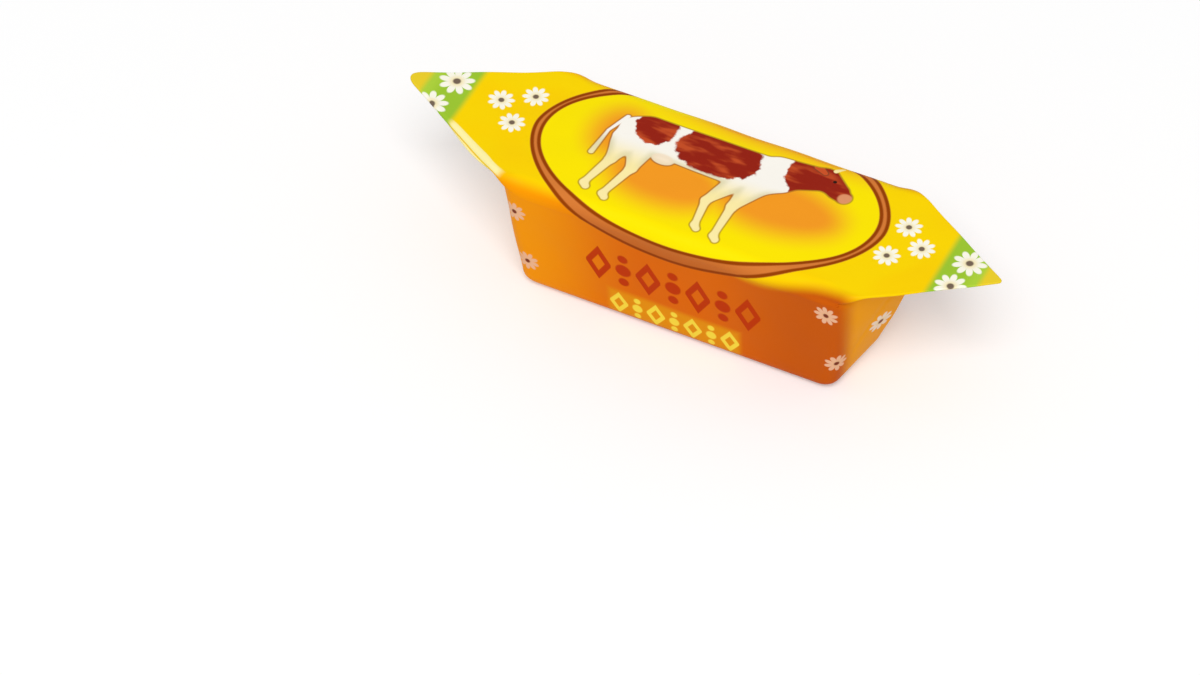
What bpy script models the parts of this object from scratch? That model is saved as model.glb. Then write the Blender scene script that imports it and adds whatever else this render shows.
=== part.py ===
"""Wrapped caramel: a block of candy in a folded paper wrapper with two flat pointed ears.

Row frame: +X along the candy, +Z up, origin under the middle of the whole piece.
The candy lies on its narrow face, so its sides lean out towards the broad top.
At each end the wrapper's side panels turn in and meet in an upright ridge, and the
paper above them runs on as a thin flat ear that ends in a point.
"""

import bpy
import numpy as np

MM = 0.001

# The wrapped block.
HEIGHT = 16.4 * MM
TOP_LENGTH = 40.0 * MM
BASE_LENGTH = 37.0 * MM
TOP_WIDTH = 18.7 * MM
BASE_WIDTH = 16.2 * MM
TOP_CROWN = 0.25 * MM

# The ears: how far each point reaches past the block, and how thin the folded paper is.
LEFT_EAR = 16.9 * MM
RIGHT_EAR = 14.2 * MM
EAR_THICKNESS = 0.5 * MM
TIP_RISE = 0.7 * MM

# The soft fold along the left ear's front edge: how thick it swells, how far it stands out, and
# where along the ear it is fullest and how quickly it fades, as shares of the ear's length.
FOLD_SWELL = 0.75 * MM
FOLD_REACH = 0.2 * MM
FOLD_FULLEST = 0.25
FOLD_SPREAD = 0.4
FOLD_START = -0.05
FOLD_END = 0.95
FOLD_FADE = 0.26

# The upright ridges where the side panels meet under the ears.
RIDGE_AT_TOP = 5.2 * MM
RIDGE_AT_BASE = 0.9 * MM
RIDGE_FULLNESS = 0.8

# How softly the paper turns at each edge, and how far a long edge takes to thin to an ear's.
BASE_ROLL = 1.5 * MM
TOP_ROLL = 1.8 * MM
CORNER_ROUND = 1.8 * MM
EAR_CORNER_ROUND = 4.0 * MM
RIDGE_ROUND = 0.6 * MM
LEFT_TIP_ROUND = 1.3 * MM
RIGHT_TIP_ROUND = 0.5 * MM
EAR_BLEND = 2.4 * MM
LONGEST_TANGENT = 0.4

# How finely the curved skin is divided.
ARC_POINTS = 7
LONG_EDGE_POINTS = 11
END_EDGE_POINTS = 7
BASE_ROLL_STEPS = 5
WALL_STEPS = 8
UNDERSIDE_STEPS = 3
EDGE_STEPS = 3
ROLL_STEPS = 6
TOP_STEPS = 6

# The flat strip left along the middle of the top, as shares of the top's length and width.
STRIP_LENGTH = 0.55
STRIP_WIDTH = 0.15

PAPER_YELLOW = (0.94, 0.61, 0.01, 1.0)
PAPER_ROUGHNESS = 0.42
SHARP_ANGLE = np.radians(50.0)


def clear_scene():
    for item in list(bpy.data.objects):
        bpy.data.objects.remove(item, do_unlink=True)


def paper_material():
    material = bpy.data.materials.new("printed_paper")
    material.use_nodes = True
    shader = material.node_tree.nodes["Principled BSDF"]
    shader.inputs["Base Color"].default_value = PAPER_YELLOW
    shader.inputs["Roughness"].default_value = PAPER_ROUGHNESS
    shader.inputs["Metallic"].default_value = 0.0
    return material


def smooth_step(share):
    share = np.clip(share, 0.0, 1.0)
    return share * share * (3.0 - 2.0 * share)


def blend(first, second, share):
    return first + (second - first) * share


def outline(half_length, half_width, reaches, corner_round, end_rounds):
    """Six-sided ring seen from above, anticlockwise from the front right corner.

    Its four block corners and its two end points, given right and left, are rounded by
    short curves that start and finish a tangent's length away from the sharp corner.
    """
    right_reach, left_reach = reaches
    right_round, left_round = end_rounds
    corners = np.array(
        [
            (half_length, -half_width),
            (half_length + right_reach, 0.0),
            (half_length, half_width),
            (-half_length, half_width),
            (-half_length - left_reach, 0.0),
            (-half_length, -half_width),
        ]
    )
    rounds = [corner_round, right_round, corner_round, corner_round, left_round, corner_round]
    edge_points = [END_EDGE_POINTS, END_EDGE_POINTS, LONG_EDGE_POINTS] * 2
    to_next = np.roll(corners, -1, axis=0) - corners
    lengths = np.linalg.norm(to_next, axis=1)
    to_next /= lengths[:, None]
    starts = []
    finishes = []
    for index, corner in enumerate(corners):
        forward = to_next[index]
        backward = -to_next[index - 1]
        half_angle = np.arccos(forward @ backward) / 2
        longest = LONGEST_TANGENT * min(lengths[index], lengths[index - 1])
        tangent = min(rounds[index] / np.tan(half_angle), longest)
        starts.append(corner + backward * tangent)
        finishes.append(corner + forward * tangent)
    ring = []
    for index, corner in enumerate(corners):
        share = np.linspace(0.0, 1.0, ARC_POINTS)[:, None]
        coming = blend(starts[index], corner, share)
        going = blend(corner, finishes[index], share)
        ring.append(blend(coming, going, share))
        share = np.linspace(0.0, 1.0, edge_points[index] + 2)[1:-1, None]
        ring.append(blend(finishes[index], starts[(index + 1) % len(corners)], share))
    return np.concatenate(ring)


def block_ring(height, inset=0.0):
    """The wrapped block's outline at one height, drawn in by an inset."""
    share = height / HEIGHT
    half_length = blend(BASE_LENGTH, TOP_LENGTH, share) / 2 - inset
    half_width = blend(BASE_WIDTH, TOP_WIDTH, share) / 2 - inset
    reach = blend(RIDGE_AT_BASE, RIDGE_AT_TOP, share**RIDGE_FULLNESS)
    return outline(
        half_length, half_width, (reach, reach), CORNER_ROUND, (RIDGE_ROUND, RIDGE_ROUND)
    )


def top_ring():
    """The outline of the top with both ears."""
    reaches = (RIGHT_EAR, LEFT_EAR)
    tip_rounds = (RIGHT_TIP_ROUND, LEFT_TIP_ROUND)
    return outline(TOP_LENGTH / 2, TOP_WIDTH / 2, reaches, EAR_CORNER_ROUND, tip_rounds)


def inward(ring):
    """Unit vectors square to a ring, pointing into it."""
    along = np.roll(ring, -1, axis=0) - np.roll(ring, 1, axis=0)
    across = np.column_stack([-along[:, 1], along[:, 0]])
    return across / np.linalg.norm(across, axis=1)[:, None]


def ear_share(ring):
    """0 along the block's long sides, rising to 1 a little way out on each ear."""
    past_block = np.abs(ring[:, 0]) - TOP_LENGTH / 2
    return smooth_step(0.5 + past_block / (2 * EAR_BLEND))


def front_fold(ring):
    """How full the left ear's soft front fold is at each point of the rim, from 0 to 1."""
    along = (np.abs(ring[:, 0]) - TOP_LENGTH / 2) / LEFT_EAR
    bell = np.exp(-(((along - FOLD_FULLEST) / FOLD_SPREAD) ** 2))
    ends = smooth_step((along - FOLD_START) / FOLD_FADE) * smooth_step((FOLD_END - along) / FOLD_FADE)
    return bell * ends * (ring[:, 0] < 0.0) * (ring[:, 1] < 0.0)


def rise(ring):
    """How far the ears lift towards their points."""
    past_block = np.clip(np.abs(ring[:, 0]) - TOP_LENGTH / 2, 0.0, None)
    return TIP_RISE * (past_block / LEFT_EAR) ** 2


def skin_levels():
    """Rings of points from the flat base, up the walls, round the ears and over the top."""
    rim = top_ring()
    middle = (rim[:, 0].min() + rim[:, 0].max()) / 2
    levels = []

    def add(ring, height):
        heights = np.broadcast_to(height, len(ring))
        levels.append(np.column_stack([ring[:, 0] - middle, ring[:, 1], heights]))

    for angle in np.linspace(0.0, np.pi / 2, BASE_ROLL_STEPS, endpoint=False):
        height = BASE_ROLL * (1.0 - np.cos(angle))
        add(block_ring(height, BASE_ROLL * (1.0 - np.sin(angle))), height)

    on_ear = ear_share(rim)
    into = inward(rim)
    fold = front_fold(rim)
    rim = rim - into * (FOLD_REACH * fold)[:, None]
    half_sheet = EAR_THICKNESS / 2
    roll = blend(TOP_ROLL, half_sheet, on_ear) + FOLD_SWELL * fold
    brim = HEIGHT - roll
    under_brim = brim - half_sheet
    wall_top = blend(HEIGHT - TOP_ROLL - EAR_THICKNESS, HEIGHT - EAR_THICKNESS, on_ear)
    wall_top = wall_top - FOLD_SWELL * fold

    for share in np.linspace(0.0, 1.0, WALL_STEPS):
        height = blend(BASE_ROLL, HEIGHT - EAR_THICKNESS, share)
        add(block_ring(height), blend(BASE_ROLL, wall_top, share))

    under = block_ring(HEIGHT - EAR_THICKNESS)
    edge = rim + into * (half_sheet * on_ear)[:, None]
    for share in np.linspace(0.0, 1.0, UNDERSIDE_STEPS + 1)[1:]:
        ring = blend(under, edge, share)
        add(ring, blend(wall_top, under_brim, share) + rise(ring))

    for angle in np.linspace(-np.pi / 2, 0.0, EDGE_STEPS + 1)[1:]:
        ring = blend(rim, edge, 1.0 - np.cos(angle))
        add(ring, blend(brim, under_brim, -np.sin(angle)) + rise(ring))

    for angle in np.linspace(0.0, np.pi / 2, ROLL_STEPS + 1)[1:]:
        ring = rim + into * (roll * (1.0 - np.cos(angle)))[:, None]
        add(ring, brim + roll * np.sin(angle) + rise(ring))

    flat = ring
    for share in np.linspace(1.0, 0.0, TOP_STEPS + 1)[1:]:
        ring = flat * (blend(STRIP_LENGTH, 1.0, share), blend(STRIP_WIDTH, 1.0, share))
        add(ring, HEIGHT + TOP_CROWN * (1.0 - share**2) + rise(ring))
    return levels


def build_candy():
    """Closes the rings into one skin, with one flat face below and one above."""
    levels = skin_levels()
    count = len(levels[0])
    faces = [tuple(reversed(range(count)))]
    for level in range(len(levels) - 1):
        low = level * count
        high = low + count
        for index in range(count):
            following = (index + 1) % count
            faces.append((low + index, low + following, high + following, high + index))
    last = (len(levels) - 1) * count
    faces.append(tuple(range(last, last + count)))
    mesh = bpy.data.meshes.new("wrapped_caramel")
    mesh.from_pydata(np.concatenate(levels).tolist(), [], faces)
    mesh.materials.append(paper_material())
    mesh.shade_smooth()
    mesh.set_sharp_from_angle(angle=SHARP_ANGLE)
    candy = bpy.data.objects.new("wrapped_caramel", mesh)
    bpy.context.scene.collection.objects.link(candy)


clear_scene()
build_candy()
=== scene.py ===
import math

import bmesh
import bpy
import numpy as np
from mathutils import Matrix, Vector


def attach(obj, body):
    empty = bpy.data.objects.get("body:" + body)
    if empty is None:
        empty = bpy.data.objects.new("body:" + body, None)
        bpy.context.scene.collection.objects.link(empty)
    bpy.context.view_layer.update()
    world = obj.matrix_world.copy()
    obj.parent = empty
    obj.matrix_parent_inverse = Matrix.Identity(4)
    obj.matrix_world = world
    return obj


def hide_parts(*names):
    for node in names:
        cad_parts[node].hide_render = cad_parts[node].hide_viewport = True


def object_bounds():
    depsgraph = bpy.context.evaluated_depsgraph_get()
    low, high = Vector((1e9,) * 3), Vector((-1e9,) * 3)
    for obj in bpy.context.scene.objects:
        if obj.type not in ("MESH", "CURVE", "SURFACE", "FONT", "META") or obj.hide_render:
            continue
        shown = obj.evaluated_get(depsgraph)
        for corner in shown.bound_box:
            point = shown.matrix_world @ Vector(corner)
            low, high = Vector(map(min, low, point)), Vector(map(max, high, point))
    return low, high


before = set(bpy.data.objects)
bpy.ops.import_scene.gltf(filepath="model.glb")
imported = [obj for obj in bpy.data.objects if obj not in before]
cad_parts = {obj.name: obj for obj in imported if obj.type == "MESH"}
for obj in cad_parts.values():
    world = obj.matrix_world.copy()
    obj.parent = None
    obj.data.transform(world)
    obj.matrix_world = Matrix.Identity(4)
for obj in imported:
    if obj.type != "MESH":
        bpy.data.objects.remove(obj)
cadLow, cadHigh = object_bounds()
print("frame loaded, box in mm:", [round(v * 1000, 2) for v in (*cadLow, *cadHigh)])

mm = 0.001
quarterTurn = math.pi / 2


def soft(value, start, stop):
    # smooth step: 0 at start, 1 at stop
    share = np.clip((value - start) / (stop - start), 0.0, 1.0)
    return share * share * (3.0 - 2.0 * share)


def between(first, second, share):
    return first + (second - first) * share


def hump(value, centre, width):
    # bell curve: 1 at centre, falling away over width
    return np.exp(-(((value - centre) / width) ** 2))


# The folded paper, in mm. The sizes of the block and its ears are those of the frame.
wrapper = {
    "middle": 1.02,                 # the block sits this far right, as the left ear is longer
    "topLength": 40.0, "baseLength": 37.0, "baseWidth": 16.2, "height": 16.4,
    "crown": 0.25, "crownEnd": 2.0, "crownStart": -8.0,
    "leftEar": 16.9, "rightEar": 14.2, "earThickness": 0.34, "tipRise": 0.7, "earBlend": 2.4,
    "ridgeAtTop": 5.2, "ridgeAtBase": 0.9, "ridgeFullness": 0.8,
    "baseRoll": 1.5, "baseGap": 0.1, "topRoll": 1.8, "cornerRound": 1.8, "earCornerRound": 4.0,
    "ridgeRound": 0.6, "leftTipRound": 1.3, "rightTipRound": 0.5, "longestTangent": 0.4,
    # the soft fold along the left ear's front edge, its places as shares of the ear's length
    "looseRoll": 0.42, "looseReach": 0.05, "looseAt": 0.25, "looseSpread": 0.4,
    "looseStart": (-0.05, 0.22), "looseEnd": (0.95, 0.7),
    # where a painted highlight lies pale along that fold, how far in, and how it fades round the edge
    "highlightStart": (-0.03, 0.12), "highlightEnd": (0.62, 0.45), "highlightWidth": 0.35, "highlightFade": 0.3,
    "highlightRoll": (0.1, 0.5), "highlightEdge": 0.4,
    "longColumns": 64, "cornerColumns": 14, "panelColumns": 40, "endColumns": 7,
    "baseRows": 16, "baseRollRows": 8, "wallRows": 40, "undersideRows": 12,
    "edgeRows": 5, "rollRows": 12, "topRows": 44,
    "weld": 0.002,
}
blockX = (cadLow.x + cadHigh.x) / 2 / mm + wrapper["middle"]
topWidth = (cadHigh.y - cadLow.y) / mm
groundZ = cadLow.z / mm


def column(value):
    # one value per row, shaped so that it spreads over the columns
    return np.atleast_1d(np.asarray(value, float))[:, None]


def quarter(halfLength, halfWidth, reach, cornerRound, endRound):
    # a quarter of the six-sided outline: straight along the long edge, a parabola round the block's
    # corner, straight along the end panel, and half a parabola round the end
    halfLength, halfWidth, reach = column(halfLength), column(halfWidth), column(reach)
    run = np.hypot(reach, halfWidth)
    stepX, stepY = reach / run, -halfWidth / run
    turn = np.arctan2(halfWidth, reach)
    longest = wrapper["longestTangent"] * run
    cornerTangent = np.minimum(cornerRound * np.tan(turn / 2), longest)
    endTangent = np.minimum(endRound / np.tan(turn), longest)
    tip = halfLength + reach

    def curve(points, share):
        first, middle, last = points
        return between(between(first, middle, share), between(middle, last, share), share)

    share = np.linspace(0.0, 1.0, wrapper["longColumns"], endpoint=False)
    xs = [share * (halfLength - cornerTangent)]
    ys = [halfWidth + 0.0 * share]
    share = np.linspace(0.0, 1.0, wrapper["cornerColumns"], endpoint=False)
    afterX, afterY = halfLength + stepX * cornerTangent, halfWidth + stepY * cornerTangent
    xs.append(curve((halfLength - cornerTangent, halfLength, afterX), share))
    ys.append(curve((halfWidth, halfWidth, afterY), share))
    share = np.linspace(0.0, 1.0, wrapper["panelColumns"], endpoint=False)
    beforeX, beforeY = tip - stepX * endTangent, -stepY * endTangent
    xs.append(between(afterX, beforeX, share))
    ys.append(between(afterY, beforeY, share))
    share = np.linspace(0.0, 0.5, wrapper["endColumns"])
    xs.append(curve((beforeX, tip, beforeX), share))
    ys.append(curve((beforeY, 0.0 * tip, -beforeY), share))
    x, y = np.concatenate(xs, axis=1), np.concatenate(ys, axis=1)
    y[:, -1] = 0.0
    steps = np.hypot(np.diff(x, axis=1), np.diff(y, axis=1))
    travelled = np.concatenate([np.zeros((len(x), 1)), np.cumsum(steps, axis=1)], axis=1)
    return x, y, travelled


def ring(halfLength, halfWidth, leftReach, rightReach, cornerRound, leftRound, rightRound):
    # the whole outline from the middle of the front edge, anticlockwise, as four quarters;
    # also how far round the block each point is from the middle of its long edge
    xr, yr, sr = quarter(halfLength, halfWidth, rightReach, cornerRound, rightRound)
    xl, yl, sl = quarter(halfLength, halfWidth, leftReach, cornerRound, leftRound)
    x = [xr, xr[:, -2::-1], -xl[:, 1:], -xl[:, -2::-1]]
    y = [-yr, yr[:, -2::-1], yl[:, 1:], -yl[:, -2::-1]]
    s = [sr, sr[:, -2::-1], -sl[:, 1:], -sl[:, -2::-1]]
    return [np.concatenate(part, axis=1) for part in (x, y, s)]


def blockRing(height, inset=0.0):
    # the block's outline at one height, drawn in by an inset
    share = np.asarray(height) / wrapper["height"]
    halfLength = between(wrapper["baseLength"], wrapper["topLength"], share) / 2 - inset
    halfWidth = between(wrapper["baseWidth"], topWidth, share) / 2 - inset
    reach = between(wrapper["ridgeAtBase"], wrapper["ridgeAtTop"], share ** wrapper["ridgeFullness"])
    endRound = wrapper["ridgeRound"]
    return ring(halfLength, halfWidth, reach, reach, wrapper["cornerRound"], endRound, endRound)


def roundChange(values):
    # difference between each point's two neighbours round a closed loop whose last column is its first
    loop = values[:, :-1]
    change = np.roll(loop, -1, axis=1) - np.roll(loop, 1, axis=1)
    return np.concatenate([change, change[:, :1]], axis=1)


def wrapperSurface():
    # rows run from the base's middle line outwards, up the walls, out under the ears, round the
    # brim and back over the top to the middle line; each point also carries its place on the flat
    # sheet and how strongly a pale highlight is painted on it
    w = wrapper
    halfLength, halfWidth = w["topLength"] / 2, topWidth / 2
    rimX, rimY, _ = ring(halfLength, halfWidth, w["leftEar"], w["rightEar"],
                         w["earCornerRound"], w["leftTipRound"], w["rightTipRound"])
    alongX, alongY = roundChange(rimX), roundChange(rimY)
    size = np.hypot(alongX, alongY)
    inX, inY = -alongY / size, alongX / size
    past = np.abs(rimX) - halfLength
    onEar = soft(past, -w["earBlend"], w["earBlend"])
    halfSheet = w["earThickness"] / 2
    out = past / np.where(rimX < 0, w["leftEar"], w["rightEar"])
    leftFront = (rimX < 0) * (rimY < 0)
    loose = hump(out, w["looseAt"], w["looseSpread"]) * leftFront
    loose = loose * soft(out, *w["looseStart"]) * soft(out, *w["looseEnd"])
    # painted highlight: pale paint along the lit shoulder of the soft fold on the left ear's front edge
    paintedHighlight = soft(out, *w["highlightStart"]) * soft(out, *w["highlightEnd"]) * leftFront
    rimX = rimX - inX * w["looseReach"] * loose
    rimY = rimY - inY * w["looseReach"] * loose
    roll = between(w["topRoll"], halfSheet, onEar) + w["looseRoll"] * loose
    brim = w["height"] - roll
    under = brim - halfSheet
    underEar = w["height"] - w["earThickness"]
    wallTop = between(underEar - w["topRoll"], underEar, onEar) - w["looseRoll"] * loose

    def rise(x):
        reach = np.clip(np.abs(x) - halfLength, 0.0, None)
        return w["tipRise"] * (reach / w["leftEar"]) ** 2

    flatX, flatY = rimX + inX * roll, rimY + inY * roll
    sideStart = halfWidth - w["topRoll"] + w["topRoll"] * quarterTurn
    sideTop = w["height"] - w["topRoll"]
    baseStart = sideStart + sideTop - w["baseRoll"]
    baseFlat = baseStart + w["baseRoll"] * quarterTurn
    unmarked = 0.0 * rimX
    rows = []

    def add(x, y, z, p, q, wornAndLit=unmarked):
        rows.append((x, y, z + unmarked, p, q + unmarked, wornAndLit))

    x, y, s = blockRing(0.0, w["baseRoll"])
    for share in np.linspace(0.0, 1.0, w["baseRows"]):
        add(x, y * share, w["baseGap"], s, baseFlat + np.abs(y) * (1.0 - share))
    for angle in np.linspace(0.0, quarterTurn, w["baseRollRows"])[1:-1]:
        height = w["baseRoll"] * (1.0 - math.cos(angle))
        x, y, s = blockRing(height, w["baseRoll"] * (1.0 - math.sin(angle)))
        add(x, y, max(height, w["baseGap"]), s, baseStart + w["baseRoll"] * (quarterTurn - angle))
    for share in np.linspace(0.0, 1.0, w["wallRows"]):
        x, y, s = blockRing(between(w["baseRoll"], underEar, share))
        z = between(w["baseRoll"], wallTop, share)
        add(x, y, z, s, sideStart + sideTop - z)
    wallX, wallY, wallZ, wallS, wallQ, _ = rows[-1]
    edgeX, edgeY = rimX + inX * halfSheet * onEar, rimY + inY * halfSheet * onEar
    lowArc = halfSheet * between(1.0, quarterTurn, onEar)
    foldP = flatX - inX * (roll * quarterTurn + lowArc)
    foldQ = np.abs(flatY - inY * (roll * quarterTurn + lowArc))
    for share in np.linspace(0.0, 1.0, w["undersideRows"])[1:]:
        x, y = between(wallX, edgeX, share), between(wallY, edgeY, share)
        z = between(wallZ, under, share) + rise(x)
        add(x, y, z, between(wallS, foldP, share), between(wallQ, foldQ, share))
    for angle in np.linspace(-quarterTurn, 0.0, w["edgeRows"])[1:]:
        x = between(rimX, edgeX, 1.0 - math.cos(angle))
        y = between(rimY, edgeY, 1.0 - math.cos(angle))
        turned = roll * quarterTurn - lowArc * angle / quarterTurn
        # the painted highlight fades round the rim's lower edge
        add(x, y, between(brim, under, -math.sin(angle)) + rise(x),
            flatX - inX * turned, np.abs(flatY - inY * turned), paintedHighlight * w["highlightEdge"])
    for angle in np.linspace(0.0, quarterTurn, w["rollRows"])[1:]:
        back = roll * (1.0 - math.cos(angle))
        x, y = rimX + inX * back, rimY + inY * back
        turned = roll * (quarterTurn - angle)
        # the painted highlight grows up the roll's lit upper side
        wornAndLit = paintedHighlight * soft(math.sin(angle), *w["highlightRoll"])
        add(x, y, brim + roll * math.sin(angle) + rise(x),
            flatX - inX * turned, np.abs(flatY - inY * turned), wornAndLit)
    crown = w["crown"] * soft(np.abs(flatX) - halfLength, w["crownEnd"], w["crownStart"])
    for share in np.linspace(1.0, 0.0, w["topRows"])[1:]:
        y = flatY * share
        z = w["height"] + crown * (1.0 - share**2) + rise(flatX)
        inward = (1.0 - share) * np.abs(flatY)
        # the painted highlight reaches a little way in over the top
        wornAndLit = paintedHighlight * soft(inward, w["highlightWidth"], w["highlightFade"] * w["highlightWidth"])
        add(flatX, y, z, flatX, np.abs(y), wornAndLit)
    return [np.concatenate(part, axis=0) for part in zip(*rows)]


def outwardNormals(x, y, z):
    # cross product of the two grid directions
    along = np.stack([roundChange(value) for value in (x, y, z)], axis=2)
    up = np.stack([np.gradient(value, axis=0) for value in (x, y, z)], axis=2)
    normal = np.cross(along, up)
    return normal / np.maximum(np.linalg.norm(normal, axis=2, keepdims=True), 1e-9)


# How the paper departs from its plain folded shape, in mm.
creases = {
    # long shallow waves of the walls and top in two sets, each with how fast it turns along x, y and z
    # and where it starts, and the height over which both fade in
    "ripple": 0.022, "rippleLength": 9.0, "ripples": ((1.0, 0.6, 0.8, 0.0), (0.7, -1.3, -0.5, 1.3)),
    "fadeIn": (1.2, 3.0),
    # the ears bend along their length, and lie plain at their points
    "earWave": 0.05, "earWaveLength": 9.0, "earWaveFrom": (1.0, 5.0), "earHeight": (14.0, 15.8),
    "tipFade": (13.5, 10.0),
    # the wall dips in just under the brim by the right front corner
    "tuck": 0.22, "tuckBelow": 1.3, "tuckWidth": 0.35, "tuckStart": (14.0, 18.5), "tuckEnd": (22.0, 20.5),
    "frontFrom": (0.0, -5.0),
    # slanting folds on the end panels
    "fold": 0.07, "foldWidth": 0.5, "foldAt": 7.6, "foldLean": 0.42,
    "panelFrom": (-1.0, 0.4), "panelBase": (1.0, 3.0), "panelTop": (15.6, 14.4),
    # where two layers meet on the underside of each ear
    "slit": 0.12, "slitWidth": 0.22, "slitStart": 0.4, "slitAbove": 12.0, "slitFacing": -0.5,
}


def relief(x, y, z):
    # height off the plain shape: waves, plus bell-shaped dips along straight lines
    c = creases
    wave = 2 * math.pi / c["rippleLength"]
    waves = 0.0
    for turnX, turnY, turnZ, start in c["ripples"]:
        waves = waves + np.sin(wave * (turnX * x + turnY * y) + turnZ * z + start)
    tuck = hump(z, wrapper["height"] - c["tuckBelow"], c["tuckWidth"])
    tuck = tuck * soft(x, *c["tuckStart"]) * soft(x, *c["tuckEnd"]) * soft(y, *c["frontFrom"])
    panel = np.abs(x) - wrapper["topLength"] / 2
    onPanel = soft(panel, *c["panelFrom"]) * soft(z, *c["panelBase"]) * soft(z, *c["panelTop"])
    slant = (np.abs(y) - c["foldAt"] + c["foldLean"] * z) / math.hypot(1.0, c["foldLean"])
    fold = hump(slant, 0.0, c["foldWidth"]) * onPanel
    return c["ripple"] * waves - c["tuck"] * tuck - c["fold"] * fold


def wrapperShape():
    # the folded skin with its creases: dips follow the skin's own direction on the walls, and
    # straight up on the top, where the two halves meet
    c = creases
    x, y, z, p, q, wornAndLit = wrapperSurface()
    normal = outwardNormals(x, y, z)
    normal[-wrapper["topRows"]:] = (0.0, 0.0, 1.0)
    height = relief(x, y, z) * soft(z, *c["fadeIn"])
    past = np.abs(x) - wrapper["topLength"] / 2
    bend = c["earWave"] * np.sin(2 * math.pi * np.abs(x) / c["earWaveLength"])
    bend = bend * soft(past, *c["earWaveFrom"]) * soft(z, *c["earHeight"])
    facingDown = (normal[:, :, 2] < c["slitFacing"]) & (z > c["slitAbove"])
    underEar = facingDown & (past > wrapper["ridgeAtTop"] + c["slitStart"])
    slit = c["slit"] * hump(y, 0.0, c["slitWidth"]) * underEar
    x, y, z = (value + height * normal[:, :, axis] for axis, value in enumerate((x, y, z)))
    return x, y, z + (bend + slit) * soft(past, *c["tipFade"]), p, q, wornAndLit


def meshPiece(name, shape, side, material, weld):
    # quads over a grid of points in mm; every face corner keeps its place p, q on the flat sheet
    x, y, z, p, q, wornAndLit = shape
    rows, columns = x.shape
    index = np.arange(rows * columns).reshape(rows, columns)
    quads = [index[:-1, :-1], index[:-1, 1:], index[1:, 1:], index[1:, :-1]]
    quads = np.stack(quads, axis=2).reshape(-1, 4)
    points = np.stack([x + blockX, y, z + groundZ], axis=2).reshape(-1, 3) * mm
    mesh = bpy.data.meshes.new(name)
    mesh.from_pydata(points.tolist(), [], quads.tolist())
    corners = quads.reshape(-1)
    signs = np.repeat(np.broadcast_to(side, (rows - 1, columns - 1)).reshape(-1), 4)
    sheet = np.stack([p.reshape(-1)[corners], q.reshape(-1)[corners] * signs], axis=1)
    layer = mesh.uv_layers.new(name="sheet", do_init=False)
    layer.uv.foreach_set("vector", sheet.astype(np.float32).reshape(-1))
    # pale marks per point: a painted highlight on the wrapper's left ear fold, and bare paper at the edges
    # of the linings and the lap
    wearAndHighlight = mesh.attributes.new("wearAndHighlight", "FLOAT", "POINT")
    wearAndHighlight.data.foreach_set("value", wornAndLit.astype(np.float32).reshape(-1))
    work = bmesh.new()
    work.from_mesh(mesh)
    bmesh.ops.remove_doubles(work, verts=work.verts, dist=weld * mm)
    bmesh.ops.recalc_face_normals(work, faces=work.faces)
    work.to_mesh(mesh)
    work.free()
    mesh.shade_smooth()
    mesh.materials.append(material)
    piece = bpy.data.objects.new(name, mesh)
    bpy.context.scene.collection.objects.link(piece)
    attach(piece, "root")
    print("made", name, "with", len(mesh.polygons), "faces")
    return piece


def thinSheet(x, y, z, p, q, wornAndLit, thickness):
    # a sheet given by its middle surface: one face above and one below, joined round all four edges
    def around(above, below):
        return np.concatenate([above, below[:, ::-1], above[:, :1]], axis=1)

    values = [around(value, value) for value in (x, y, z, p, q, wornAndLit)]
    ends = [np.concatenate([value[:1], value, value[-1:]], axis=0) for value in values]
    ends[2][1:-1] = around(z + thickness / 2, z - thickness / 2)
    return ends


# The folded side panels that lie flat under each ear, in mm.
lining = {
    "thickness": 0.12, "below": 0.1, "seam": 0.1, "along": 40, "across": 60,
    "inset": 0.3, "peek": 0.55,                          # the left front one peeks past its ear's edge
    "panelTip": 0.4, "panelCorner": 0.6, "edgeTip": 1.4, "edgeCorner": 0.9,   # its four corners
    "bow": 0.12, "sag": 0.75, "sheetPlace": 10.0, "wornFrom": (0.86, 0.96), "wornAndLit": 0.3,
}


def earLining(end, side):
    # a triangle from the end ridge to the ear's point and back to the block's corner: straight lines
    # from the end panel's top edge out to the ear's edge, stopping short of it or peeking past it
    w = wrapper
    n = lining
    ear = w["leftEar"] if end < 0 else w["rightEar"]
    steps = (np.linspace(0.0, 1.0, n["across"]), np.linspace(0.0, 1.0, n["along"]))
    across, out = np.meshgrid(*steps, indexing="ij")
    peeking = end < 0 and side < 0
    edge = n["peek"] if peeking else -n["inset"]
    bow = edge * np.sin(math.pi * across ** (2 if peeking else 1))
    panelX = between(w["ridgeAtTop"] - n["panelTip"], n["panelCorner"], across)
    edgeX = between(ear - n["edgeTip"], n["edgeCorner"], across) + bow / 2
    past = between(panelX, edgeX, out)
    x = end * (w["topLength"] / 2 + past)
    y = between(n["seam"], topWidth / 2 - n["edgeCorner"], across) + bow * out
    rise = w["tipRise"] * (past / w["leftEar"]) ** 2
    drop = n["bow"] * np.sin(math.pi * across) * out
    if peeking:
        drop = drop + n["sag"] * w["looseRoll"] * hump(past / ear, w["looseAt"], w["looseSpread"]) * out
    z = w["height"] - w["earThickness"] - n["below"] + rise - drop
    wornAndLit = soft(out, *n["wornFrom"]) * (1.0 if peeking else n["wornAndLit"])
    return thinSheet(x, side * y, z, x, y + n["sheetPlace"], wornAndLit, n["thickness"])


# The overlap of the sheet's outer edge along the base, in mm.
lap = {
    "halfLength": 18.2, "front": -3.4, "rear": 4.1, "waviness": 0.12, "waves": 9.0, "waveStart": 0.7,
    "along": 90, "across": 24, "sheetPlace": 30.0, "wornFrom": (0.9, 1.0), "wornAndLit": 0.3,
}


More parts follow.
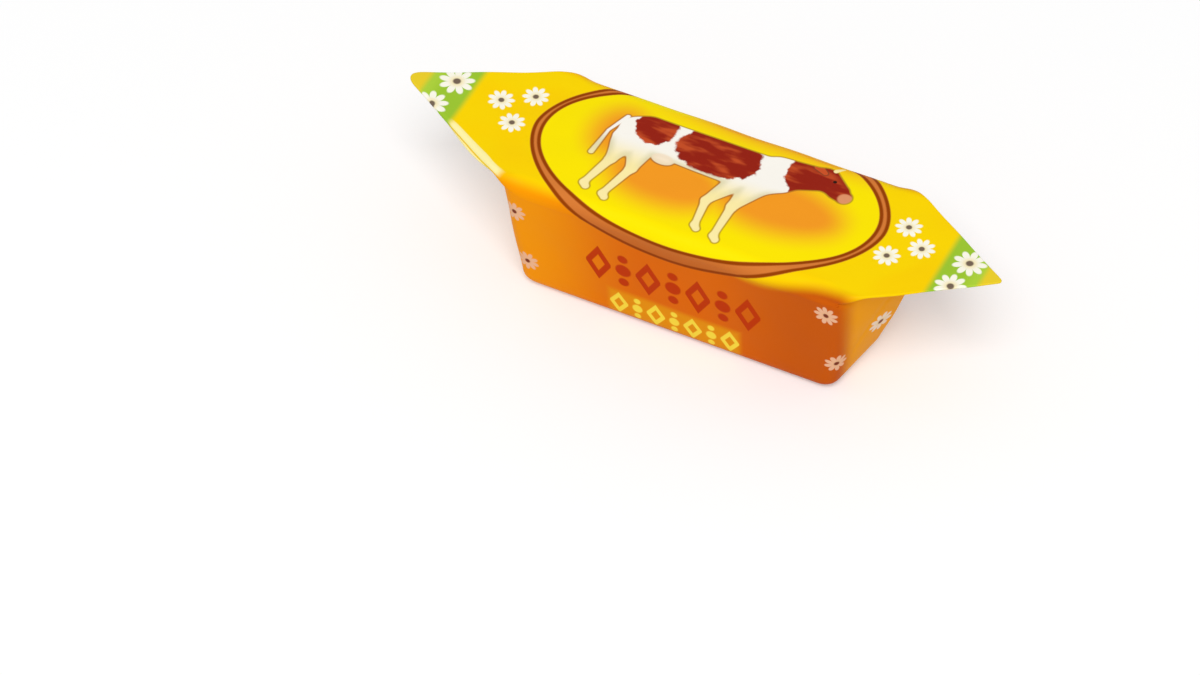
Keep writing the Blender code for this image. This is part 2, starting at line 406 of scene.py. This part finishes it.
def baseLap():
    # a strip lying along the base, its rear edge waving by a sine
    steps = (np.linspace(-1.0, 1.0, lap["along"]), np.linspace(0.0, 1.0, lap["across"]))
    along, across = np.meshgrid(*steps, indexing="ij")
    wave = lap["waviness"] * np.sin(lap["waves"] * along + lap["waveStart"])
    x = lap["halfLength"] * along
    y = between(lap["front"], lap["rear"] + wave, across)
    z = 0.0 * x + wrapper["baseGap"] / 2
    wornAndLit = lap["wornAndLit"] * soft(across, *lap["wornFrom"])
    return thinSheet(x, y, z, x, lap["sheetPlace"] + y, wornAndLit, wrapper["baseGap"])


class Wire:
    # a socket of a shader; arithmetic on it adds Math nodes
    def __init__(self, tree, socket=None):
        self.tree = tree
        self.socket = socket

    def make(self, kind, settings, inputs, output=0):
        # any node: its type, its settings, then the values or wires of its sockets
        node = self.tree.nodes.new(kind)
        for key, value in settings.items():
            setattr(node, key, value)
        for key, value in inputs.items():
            if isinstance(value, Wire):
                self.tree.links.new(value.socket, node.inputs[key])
            else:
                node.inputs[key].default_value = value
        return Wire(self.tree, node.outputs[output])

    def out(self, output):
        # another output of the same node
        return Wire(self.tree, self.socket.node.outputs[output])

    def math(self, operation, *others, **settings):
        values = dict(enumerate((self, *others)))
        return self.make("ShaderNodeMath", {"operation": operation, **settings}, values)

    def vector(self, operation, *others, output=0):
        values = dict(enumerate((self, *others)))
        return self.make("ShaderNodeVectorMath", {"operation": operation}, values, output)

    def __add__(self, other):
        return self.math("ADD", other)

    def __sub__(self, other):
        return self.math("SUBTRACT", other)

    def __rsub__(self, other):
        return self.make("ShaderNodeMath", {"operation": "SUBTRACT"}, {0: other, 1: self})

    def __mul__(self, other):
        return self.math("MULTIPLY", other)

    def __truediv__(self, other):
        return self.math("DIVIDE", other)

    def __pow__(self, other):
        return self.math("POWER", other)

    def __abs__(self):
        return self.math("ABSOLUTE")

    def step(self, start, stop):
        # soft step: 0 at start, 1 at stop, whichever is the larger
        low, high = (0.0, 1.0) if start < stop else (1.0, 0.0)
        return self.make("ShaderNodeMapRange", {"interpolation_type": "SMOOTHSTEP"},
                         {"Value": self, "From Min": min(start, stop), "From Max": max(start, stop),
                          "To Min": low, "To Max": high})

    def least(self, other, blend=0.0):
        # the smaller of two distances, melted together over a blend
        return self.math("SMOOTH_MIN", other, blend) if blend else self.math("MINIMUM", other)

    def mix(self, first, second):
        # one colour where this value is 0, another where it is 1
        return self.make("ShaderNodeMix", {"data_type": "RGBA"}, {0: self, 6: first, 7: second}, 2)

    def paint(self, colour, mask):
        # this colour, with another laid over it where mask is 1
        return mask.mix(self, colour)

    def noise(self, scale, detail):
        # clouds of 0 to 1 about this place, with so many patches to a length of one
        settings = {"noise_dimensions": "3D"}
        return self.make("ShaderNodeTexNoise", settings, {"Vector": self, "Scale": scale, "Detail": detail})


def ink(red, green, blue):
    # a printed colour from its everyday 0 to 255 values, as the linear light a shader wants
    def linear(value):
        value /= 255
        return value / 12.92 if value <= 0.04045 else ((value + 0.055) / 1.055) ** 2.4

    return (linear(red), linear(green), linear(blue), 1.0)


# The inks, and where the print lies on the flat sheet in mm: p runs along the candy from the block's
# middle, q across it from the middle of the top, so the front wall is at q from -10 to -24. A pair of
# values is where something starts and where it is complete.
printing = {
    "edge": 0.11, "cloudSize": 0.11, "cloudFrom": (0.42, 0.62), "cloudShare": 0.4, "wobbleSize": 0.9,
    "topYellow": ink(254, 216, 0), "warmYellow": ink(254, 202, 0),
    # the long walls and the ends
    "sideAmber": ink(252, 156, 0), "sideOrange": ink(228, 108, 6), "sideBrown": ink(206, 92, 8),
    "endOchre": ink(250, 164, 0),
    "orangeFrom": (-19.0, -3.0), "brownFrom": (2.0, 16.0), "ochreFrom": (19.2, 22.0),
    # where yellow turns to orange across the brim, and how far that line sags right of the middle
    "wallFrom": (7.7, 9.7), "wallSag": 1.95, "sagFrom": (1.0, 9.0), "sagTo": (18.5, 9.5),
}
# The ring, as middle, radii, power and lean, and the clouds inside it, as middle and radii.
ringPrint = {
    "outer": ((-0.37, 0.71), (20.42, 13.17), 1.83, 0.022),
    "inner": ((-0.4, 0.73), (19.23, 10.78), 2.0, 0.014),
    "line": ink(148, 62, 0), "lineWidth": 0.4,
    "band": ink(216, 124, 54), "shade": ink(196, 100, 34), "shadeFrom": (-8.0, -13.0),
    "yellow": ink(255, 232, 0), "cloud": ink(247, 156, 34), "cloudFrom": (2.2, -2.4),
    "clouds": (((7.6, -0.2), (8.0, 4.2)), ((-4.4, -1.8), (7.0, 4.2)), ((-12.0, 2.4), (3.0, 4.0)),
               ((4.5, 8.3), (9.0, 0.7))),
}
# The green bands across the ears and the yellow points beyond them: the way each ear runs from the
# middle, then where its green starts and stops.
earPrint = {
    "green": ink(158, 200, 52), "leaf": ink(190, 222, 70), "point": ink(238, 208, 44),
    "bands": ((-1, 28.9, 33.9), (1, 27.2, 31.9)), "onTop": (9.2, 8.6),
    "startBlur": 0.5, "stopBlur": 0.45, "leafFrom": (2.2, 0.4), "leafShare": 0.5,
}
# Daisies as p, q, radius and turn: in the green, on the ears, on the walls and on the ends.
flowers = {
    "petal": ink(255, 252, 236), "petalBase": ink(250, 236, 190), "petalFrom": (0.2, 0.6),
    # on the walls the petals and eyes take painted shade: shaded, warmer copies of their colours, weaker on
    # the end panels
    "shadedSidePetal": ink(242, 176, 130), "eye": ink(118, 100, 84), "shadedSideEye": ink(128, 56, 34),
    "sideFrom": (9.6, 10.6), "sideShadeShare": 0.85, "endShadeShare": 0.35, "endFrom": (20.5, 22.0),
    "petals": 9, "petalWidth": 0.6, "petalStart": 0.42, "petalLength": 0.56, "petalBlur": 0.07,
    "eyeEdge": (0.28, 0.16),
    "places": (
        (-31.1, 1.55, 2.0, 0.2), (-32.0, -2.75, 1.9, 0.9), (29.8, 1.0, 1.9, 0.5), (29.3, -2.9, 1.8, 1.1),
        (-25.6, 1.35, 1.5, 0.3), (-22.5, 3.5, 1.5, 0.7), (-23.0, -1.25, 1.5, 1.2),
        (21.8, 3.3, 1.5, 0.1), (24.3, 1.0, 1.5, 0.6), (21.4, -1.55, 1.5, 1.0),
        (18.0, -12.2, 1.4, 0.4), (19.1, -20.2, 1.4, 0.8), (25.6, -17.9, 1.7, 0.2),
        (-18.8, -13.2, 1.4, 0.6), (-24.6, -18.6, 1.4, 0.1), (-17.6, -20.8, 1.4, 0.9),
        (-18.2, 12.8, 1.4, 0.5), (-19.4, 20.4, 1.4, 0.1), (-25.0, 16.4, 1.4, 0.8),
        (18.6, 13.6, 1.4, 0.7), (17.4, 21.0, 1.4, 0.3), (25.2, 18.2, 1.4, 1.0),
    ),
}
# Two rows of lozenges and dots on each long wall, in mm: the lower row is on a plate of its own.
shapeRows = {
    "red": {"ink": ink(196, 56, 0), "middle": 16.7, "pitch": 2.95, "halfRun": 10.4,
            "high": 2.7, "dot": 0.62, "blur": 0.12},
    "yellow": {"ink": ink(255, 226, 70), "middle": 22.3, "pitch": 2.2, "halfRun": 7.8,
               "high": 1.7, "dot": 0.4, "blur": 0.1},
    "plate": ink(236, 156, 12), "plateHalfHeight": 2.0, "plateBlur": 0.5, "plateShare": 0.8,
    # the shares of a row's height and pitch that its shapes take, and in mm how softly the row ends
    "lozengeWidth": 0.54, "lozengeLine": 0.26, "dotSpread": 0.7, "middleDot": 1.5, "endBlur": 0.05,
}
# A plain standing cow: tapering bars as start, end and their two radii, and ellipses as middle and radii.
cow = {
    "white": ink(255, 251, 242), "cream": ink(255, 238, 168), "creamFrom": (2.4, -2.0),
    "brown": ink(150, 34, 18), "tan": ink(206, 84, 40), "outline": ink(126, 64, 36),
    "pink": ink(252, 226, 196), "shade": ink(214, 206, 160), "noseInk": ink(226, 150, 106),
    "eyeInk": ink(40, 20, 14),
    "body": (((-9.0, 3.6), (3.4, 3.3), 2.65, 2.95), ((-10.4, 3.6), (-10.2, 1.4), 1.95, 1.9),
             ((4.4, 3.1), (6.2, 4.0), 2.9, 2.7), ((6.0, 4.3), (10.6, 5.6), 2.5, 1.75)),
    "head": (((10.9, 5.9), (12.9, 4.7), 1.65, 1.2), ((12.9, 4.6), (13.8, 4.1), 1.15, 0.92)),
    "legs": (((4.9, 1.8), (3.8, -2.4), 1.7, 0.58), ((3.8, -2.4), (3.8, -6.9), 0.5, 0.36),
             ((3.8, -7.1), (4.2, -7.5), 0.42, 0.4),
             ((3.0, 1.6), (0.9, -2.8), 1.4, 0.5), ((0.9, -2.8), (1.3, -6.3), 0.45, 0.34),
             ((1.3, -6.5), (1.7, -6.9), 0.4, 0.38),
             ((-10.6, 1.8), (-10.9, -1.6), 1.8, 0.62), ((-10.9, -1.6), (-12.0, -5.9), 0.55, 0.36),
             ((-12.0, -6.0), (-11.6, -6.4), 0.42, 0.4),
             ((-8.7, 2.0), (-8.3, -2.0), 1.9, 0.62), ((-8.3, -2.0), (-9.5, -6.5), 0.52, 0.36),
             ((-9.5, -6.6), (-9.1, -7.0), 0.42, 0.4)),
    "tail": (((-12.1, 5.0), (-13.1, 2.2), 0.26, 0.16), ((-13.1, 2.2), (-13.3, -1.6), 0.16, 0.3)),
    "ear": ((10.5, 6.7), (9.5, 7.3), 0.28, 0.5), "horn": ((11.4, 7.5), (12.1, 8.3), 0.26, 0.12),
    "patches": (((-8.6, 4.9), (2.3, 2.7)), ((-0.8, 4.1), (4.9, 3.4)), ((11.8, 5.6), (5.1, 4.6))),
    "udder": ((-5.9, 0.7), (1.3, 0.8)), "nose": ((14.1, 3.9), (0.85, 0.8)),
    "eye": (12.0, 5.9), "eyeRadius": 0.22, "eyeEdge": 0.05,
    # how softly its parts melt together, and the dark line round it
    "bodyMelt": 0.6, "headMelt": 0.25, "tailMelt": 0.1, "neckMelt": 0.5, "softMelt": 0.3,
    "lineFrom": (0.26, 0.08), "lineShare": 0.6, "edge": 0.08, "patchEdge": 0.15, "fineEdge": 0.06,
    # brown keeps to the back, but covers the whole head; shade falls under the belly, and the patches
    # have no lighter hairs at the outline
    "backFrom": (0.6, 1.1), "headFrom": (6.5, 8.5), "raggedness": 1.4,
    "hairStretch": (0.35, 1.0, 1.0), "hairSize": 0.7, "hairFrom": (0.46, 0.64), "hairShare": 0.85,
    "bellyFrom": (2.5, 0.5), "bellyTo": (-2.6, 0.0), "bellyIn": (-1.0, 0.0), "bellyShare": 0.6,
    "udderFrom": (0.1, -0.2), "udderShare": 0.6, "rimFrom": (-1.0, -0.1), "rimShare": 0.8,
    "earLineFrom": (0.2, 0.08), "earLineShare": 0.8,
}


def away(place, centre):
    return place.vector("SUBTRACT", (*centre, 0.0))


def ellipse(place, centre, radii):
    # distance in mm from an ellipse's edge, negative inside: with e the length of the offset over the
    # radii, (e - 1) times e over e's steepest slope, where a trifle keeps the middle from 0 over 0
    trifle = 0.001
    offset = away(place, centre).vector("DIVIDE", (*radii, 1.0))
    far = offset.vector("LENGTH", output=1)
    slope = offset.vector("DIVIDE", (*radii, 1.0)).vector("LENGTH", output=1)
    return (far - 1.0) * (far + trifle) / (slope + trifle / min(radii))


def roundedDiamond(p, q, centre, radii, power, lean):
    # distance in mm from the curve |u| ** power + |v| ** power = 1, where u and v are p and q over the
    # radii: an ellipse at power 2, and more of a diamond below it; it leans up a little to the right
    across = q - p * lean
    u, v = (abs(value - middle) / radius for value, middle, radius in zip((p, across), centre, radii))
    total = u ** power + v ** power
    far = total ** (1 / power)
    slopeP = u ** (power - 1) / radii[0]
    slopeQ = v ** (power - 1) / radii[1]
    slope = total ** (1 / power - 1) * (slopeP * slopeP + slopeQ * slopeQ) ** 0.5
    return (far - 1.0) / slope


def limb(place, start, end, startRadius, endRadius):
    # distance in mm from a tapering bar with round ends, negative inside
    run = (end[0] - start[0], end[1] - start[1], 0.0)
    offset = away(place, start)
    share = offset.vector("DOT_PRODUCT", run, output=1)
    share = share.math("DIVIDE", run[0] ** 2 + run[1] ** 2, use_clamp=True)
    nearest = place.make("ShaderNodeVectorMath", {"operation": "SCALE"}, {0: run, "Scale": share})
    far = offset.vector("SUBTRACT", nearest).vector("LENGTH", output=1)
    return far - share * (endRadius - startRadius) - startRadius


def together(distances, blend):
    # one outline from several, melted together where they meet
    joined = distances[0]
    for distance in distances[1:]:
        joined = joined.least(distance, blend)
    return joined


def wall(p, aside, colour):
    # the long walls: amber at the left, deepening to brown-orange, with ochre ends
    i = printing
    walls = p.step(*i["orangeFrom"]).mix(i["sideAmber"], i["sideOrange"])
    walls = walls.paint(i["sideBrown"], p.step(*i["brownFrom"]))
    walls = walls.paint(i["endOchre"], abs(p).step(*i["ochreFrom"]))
    sag = p.step(*i["sagFrom"]) * p.step(*i["sagTo"]) * i["wallSag"]
    return colour.paint(walls, (aside - sag).step(*i["wallFrom"]))


def oval(place, p, q, colour):
    # a ring of two dark lines round a tan band, and inside it yellow with soft orange clouds
    r = ringPrint
    edge = printing["edge"]
    outer = roundedDiamond(p, q, *r["outer"])
    inner = roundedDiamond(p, q, *r["inner"])
    clouds = [ellipse(place, *cloud).step(*r["cloudFrom"]) for cloud in r["clouds"]]
    cloud = clouds[0]
    for other in clouds[1:]:
        cloud = cloud.math("MAXIMUM", other)
    band = q.step(*r["shadeFrom"]).mix(r["band"], r["shade"])
    colour = colour.paint(band, outer.step(edge, -edge))
    colour = colour.paint(cloud.mix(r["yellow"], r["cloud"]), inner.step(edge, -edge))
    half = r["lineWidth"] / 2
    for line in (outer + half, inner - half):
        colour = colour.paint(r["line"], abs(line).step(half + edge, half - edge))
    return colour


def points(p, aside, colour):
    # green across each ear, lighter towards the yellow point beyond it
    e = earPrint
    onTop = aside.step(*e["onTop"])
    leafFirst, leafLast = e["leafFrom"]
    for way, start, stop in e["bands"]:
        out = p * way
        colour = colour.paint(e["green"], out.step(start - e["startBlur"], start + e["startBlur"]) * onTop)
        leaf = out.step(stop - leafFirst, stop - leafLast) * onTop * e["leafShare"]
        colour = colour.paint(e["leaf"], leaf)
        colour = colour.paint(e["point"], out.step(stop - e["stopBlur"], stop + e["stopBlur"]) * onTop)
    return colour


def daisies(place, p, aside, colour):
    # each point looks up its nearest daisy, as an offset in daisy radii, and the petals are drawn once:
    # their ends lie at a distance that follows the cosine of the angle round the middle
    f = flowers
    local, nearest, turn = None, None, None
    for along, across, radius, angle in f["places"]:
        offset = away(place, (along, across)).vector("DIVIDE", (radius, radius, 1.0))
        far = offset.vector("LENGTH", output=1)
        if local is None:
            local, nearest, turn = offset, far, angle
            continue
        nearer = far.math("LESS_THAN", nearest)
        local = place.make("ShaderNodeMix", {"data_type": "VECTOR"}, {0: nearer, 4: local, 5: offset}, 1)
        turn = place.make("ShaderNodeMix", {"data_type": "FLOAT"}, {0: nearer, 2: turn, 3: angle}, 0)
        nearest = nearest.math("MINIMUM", far)
    x = local.make("ShaderNodeSeparateXYZ", {}, {0: local})
    around = x.out(1).math("ARCTAN2", x) + turn
    lobe = abs((around * (f["petals"] / 2)).math("COSINE")) ** f["petalWidth"]
    petal = (nearest - lobe * f["petalLength"] - f["petalStart"]).step(f["petalBlur"], -f["petalBlur"])
    # painted shade: on the walls the petals take a shaded copy of their white, less of it on the end
    # panels, and the eyes a darker red
    onSide = aside.step(*f["sideFrom"])
    paintedShade = onSide * (f["sideShadeShare"] - abs(p).step(*f["endFrom"]) * (f["sideShadeShare"] - f["endShadeShare"]))
    white = nearest.step(*f["petalFrom"]).mix(f["petalBase"], f["petal"]).paint(f["shadedSidePetal"], paintedShade)
    return colour.paint(white, petal).paint(onSide.mix(f["eye"], f["shadedSideEye"]), nearest.step(*f["eyeEdge"]))


def row(p, aside, values, colour):
    # cells of one pitch: hollow lozenges in odd cells, and in even ones a large dot between two small
    share = shapeRows
    pitch, high, dot, blur = values["pitch"], values["high"], values["dot"], values["blur"]
    up = aside - values["middle"]
    cell = (p / pitch + 0.5).math("FLOOR")
    along = abs(p - cell * pitch)
    odd = abs(cell).math("MODULO", 2.0)
    line = high * share["lozengeLine"]
    lozenge = abs(along * (high / (pitch * share["lozengeWidth"])) + abs(up) - (high - line)) - line
    end = abs(up) - high * share["dotSpread"]
    small = (along * along + end * end) ** 0.5 - dot
    large = (along * along + up * up) ** 0.5 - dot * share["middleDot"]
    shapes = lozenge * odd + small.least(large) * (1.0 - odd)
    onRow = abs(p).step(values["halfRun"] + share["endBlur"], values["halfRun"])
    return colour.paint(values["ink"], shapes.step(blur, -blur) * onRow)


def bothRows(p, aside, colour):
    # along each long wall a red row, and below it a plate with a row of small yellow shapes
    r = shapeRows
    lower = r["yellow"]
    plate = (abs(p) - lower["halfRun"]).math("MAXIMUM", abs(aside - lower["middle"]) - r["plateHalfHeight"])
    colour = colour.paint(r["plate"], plate.step(r["plateBlur"], -r["plateBlur"]) * r["plateShare"])
    colour = row(p, aside, lower, colour)
    return row(p, aside, r["red"], colour)


def animal(place, p, q, wobble, colour):
    # the coat is white, creamier towards the legs, under brown patches with uneven edges
    c = cow
    body = together([limb(place, *bar) for bar in c["body"] + c["legs"]], c["bodyMelt"])
    head = together([limb(place, *bar) for bar in c["head"]], c["headMelt"])
    tail = together([limb(place, *bar) for bar in c["tail"]], c["tailMelt"])
    udder = ellipse(place, *c["udder"])
    whole = body.least(head, c["neckMelt"]).least(tail, c["tailMelt"]).least(udder, c["softMelt"])
    coat = q.step(*c["creamFrom"]).mix(c["white"], c["cream"])
    belly = whole.step(*c["bellyIn"]) * q.step(*c["bellyFrom"]) * q.step(*c["bellyTo"])
    coat = coat.paint(c["shade"], belly * c["bellyShare"])
    coat = coat.paint(c["pink"], udder.step(*c["udderFrom"]) * c["udderShare"])
    hair = place.vector("MULTIPLY", c["hairStretch"]).noise(c["hairSize"], 2.0)
    brown = (hair.step(*c["hairFrom"]) * c["hairShare"]).mix(c["brown"], c["tan"])
    brown = brown.paint(c["brown"], whole.step(*c["rimFrom"]) * c["rimShare"])
    spots = together([ellipse(place, *patch) for patch in c["patches"]], c["softMelt"])
    spots = spots + wobble * c["raggedness"]
    backOrHead = (q + wobble).step(*c["backFrom"]).math("MAXIMUM", p.step(*c["headFrom"]))
    patchEdge, fineEdge = c["patchEdge"], c["fineEdge"]
    coat = coat.paint(brown, spots.step(patchEdge, -patchEdge) * backOrHead)
    coat = coat.paint(c["noseInk"], ellipse(place, *c["nose"]).step(patchEdge, -patchEdge))
    ear = limb(place, *c["ear"])
    coat = coat.paint(c["outline"], ear.step(*c["earLineFrom"]) * c["earLineShare"])
    coat = coat.paint(c["tan"], ear.step(fineEdge, -fineEdge))
    eye = away(place, c["eye"]).vector("LENGTH", output=1) - c["eyeRadius"]
    coat = coat.paint(c["eyeInk"], eye.step(c["eyeEdge"], -c["eyeEdge"]))
    colour = colour.paint(c["outline"], whole.step(*c["lineFrom"]) * c["lineShare"])
    colour = colour.paint(coat, whole.step(c["edge"], -c["edge"]))
    return colour.paint(c["cream"], limb(place, *c["horn"]).step(fineEdge, -fineEdge))


# The waxed paper itself, lengths in mm.
paper = {
    # pale paper colour, used both as a painted highlight on the left ear's fold and as bare paper at cut
    # edges
    "bareAndHighlight": ink(255, 243, 168), "bareAndHighlightFrom": (0.25, 0.85), "bareAndHighlightWobble": 0.3,
    "rough": 0.46, "roughSpread": 0.16, "gloss": 0.035,
    "fibre": 0.28, "fibreHeight": 0.006, "crinkle": 3.2, "crinkleHeight": 0.05,
}


def wrapperMaterial():
    material = bpy.data.materials.new("printedPaper")
    material.use_nodes = True
    tree = material.node_tree
    shader = tree.nodes["Principled BSDF"]
    i = printing
    first = Wire(tree)
    place = first.make("ShaderNodeUVMap", {"uv_map": "sheet"}, {})
    p = first.make("ShaderNodeSeparateXYZ", {}, {0: place})
    q = p.out(1)
    aside = abs(q)
    wobble = place.noise(i["wobbleSize"], 3.0) - 0.5
    cloud = place.noise(i["cloudSize"], 1.0).step(*i["cloudFrom"]) * i["cloudShare"]
    colour = cloud.mix(i["topYellow"], i["warmYellow"])
    colour = wall(p, aside, colour)
    colour = bothRows(p, aside, colour)
    colour = oval(place, p, q, colour)
    colour = animal(place, p, q, wobble, colour)
    colour = points(p, aside, colour)
    colour = daisies(place, p, aside, colour)
    # pale paper laid over the print: a painted highlight along the left ear's front fold, and bare paper
    # along the edges of the linings and the lap
    wearAndHighlight = first.make("ShaderNodeAttribute", {"attribute_name": "wearAndHighlight"}, {}, "Fac")
    wornAndLit = (wearAndHighlight + wobble * paper["bareAndHighlightWobble"]).step(*paper["bareAndHighlightFrom"])
    colour = colour.paint(paper["bareAndHighlight"], wornAndLit)
    tree.links.new(colour.socket, shader.inputs["Base Color"])
    body = first.make("ShaderNodeTexCoord", {}, {}, "Object")
    fibre = body.noise(1 / (paper["fibre"] * mm), 4.0)
    crinkle = body.noise(1 / (paper["crinkle"] * mm), 2.0)
    height = fibre * paper["fibreHeight"] + crinkle * paper["crinkleHeight"]
    bump = first.make("ShaderNodeBump", {}, {"Height": height, "Distance": mm, "Strength": 1.0})
    tree.links.new(bump.socket, shader.inputs["Normal"])
    rough = crinkle * paper["roughSpread"] + (paper["rough"] - paper["roughSpread"] / 2)
    tree.links.new(rough.socket, shader.inputs["Roughness"])
    shader.inputs["Specular IOR Level"].default_value = paper["gloss"]
    return material


# A long lens looking down on the candy from its right front corner, lengths in mm.
view = {
    "azimuth": 26.38, "elevation": 46.55, "distance": 600.0, "aside": 11.67, "above": 5.25,
    "lens": 165.6, "nearest": 50.0,
}


def placeCamera():
    turn, tilt = math.radians(view["azimuth"]), math.radians(view["elevation"])
    right = np.array([math.cos(turn), math.sin(turn), 0.0])
    back = np.array([math.sin(turn) * math.cos(tilt), -math.cos(turn) * math.cos(tilt), math.sin(tilt)])
    up = np.cross(back, right)
    place = -view["aside"] * right - view["above"] * up + view["distance"] * back + (blockX, 0.0, groundZ)
    lens = bpy.data.cameras.new("camera")
    lens.lens = view["lens"]
    lens.clip_start = view["nearest"] * mm
    item = bpy.data.objects.new("camera", lens)
    turned = Matrix(np.column_stack([right, up, back]).tolist()).to_4x4()
    item.matrix_world = Matrix.Translation(place * mm) @ turned
    bpy.context.scene.collection.objects.link(item)
    bpy.context.scene.camera = item


# One broad soft lamp above, a pale floor and an even sky; places and sizes in mm.
studio = {
    "lampPlace": (300.0, -750.0, 1260.0), "lampSize": 780.0, "lampPower": 12.6,
    "sky": 0.5, "floorReach": 1500.0, "floorShade": 0.8, "floorLift": 0.25,
}


def seenDirectly(first):
    # 1 for rays from the camera, mirrors and glass, 0 for the light that falls on the candy
    path = first.make("ShaderNodeLightPath", {}, {}, "Is Camera Ray")
    return path.math("MAXIMUM", path.out("Is Glossy Ray")).math("MAXIMUM", path.out("Is Transmission Ray"))


def buildStudio():
    scene = bpy.context.scene
    scene.view_settings.view_transform = "Standard"
    world = bpy.data.worlds.new("studio")
    scene.world = world
    world.use_nodes = True
    first = Wire(world.node_tree)
    strengths = {0: seenDirectly(first), 2: studio["sky"], 3: 1.0}
    level = first.make("ShaderNodeMix", {"data_type": "FLOAT"}, strengths)
    background = world.node_tree.nodes["Background"]
    background.inputs["Color"].default_value = (1.0, 1.0, 1.0, 1.0)
    world.node_tree.links.new(level.socket, background.inputs["Strength"])
    light = bpy.data.lights.new("lamp", "AREA")
    light.shape = "DISK"
    light.size = studio["lampSize"] * mm
    light.energy = studio["lampPower"]
    lamp = bpy.data.objects.new("lamp", light)
    place = Vector(studio["lampPlace"]) * mm
    lamp.matrix_world = Matrix.Translation(place) @ place.to_track_quat("Z", "Y").to_matrix().to_4x4()
    scene.collection.objects.link(lamp)
    reach = studio["floorReach"] * mm
    mesh = bpy.data.meshes.new("floor")
    corners = [(-reach, -reach), (reach, -reach), (reach, reach), (-reach, reach)]
    mesh.from_pydata([(x, y, cadLow.z) for x, y in corners], [], [(0, 1, 2, 3)])
    floor = bpy.data.objects.new("floor", mesh)
    scene.collection.objects.link(floor)
    material = bpy.data.materials.new("floor")
    material.use_nodes = True
    tree = material.node_tree
    shader = tree.nodes["Principled BSDF"]
    shader.inputs["Base Color"].default_value = (studio["floorShade"],) * 3 + (1.0,)
    shader.inputs["Specular IOR Level"].default_value = 0.0
    glow = seenDirectly(Wire(tree)).mix((0.0, 0.0, 0.0, 1.0), (studio["floorLift"],) * 3 + (1.0,))
    tree.links.new(glow.socket, shader.inputs["Emission Color"])
    shader.inputs["Emission Strength"].default_value = 1.0
    mesh.materials.append(material)
    print("camera, lamp and floor placed")


def sheetSides(columns):
    # the front half of the sheet has q below 0, the rear half above 0
    quarterFaces = (columns - 1) // 4
    face = np.arange(columns - 1)
    return np.where((face < quarterFaces) | (face >= 3 * quarterFaces), -1.0, 1.0)


material = wrapperMaterial()
shape = wrapperShape()
piece = meshPiece("wrapper", shape, sheetSides(shape[0].shape[1]), material, wrapper["weld"])
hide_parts("wrapped_caramel")
for end, endName in ((-1, "left"), (1, "right")):
    for side, sideName in ((-1, "Front"), (1, "Rear")):
        meshPiece(endName + sideName + "Lining", earLining(end, side), side, material, wrapper["weld"])
meshPiece("baseLap", baseLap(), 1, material, wrapper["weld"])
placeCamera()
buildStudio()
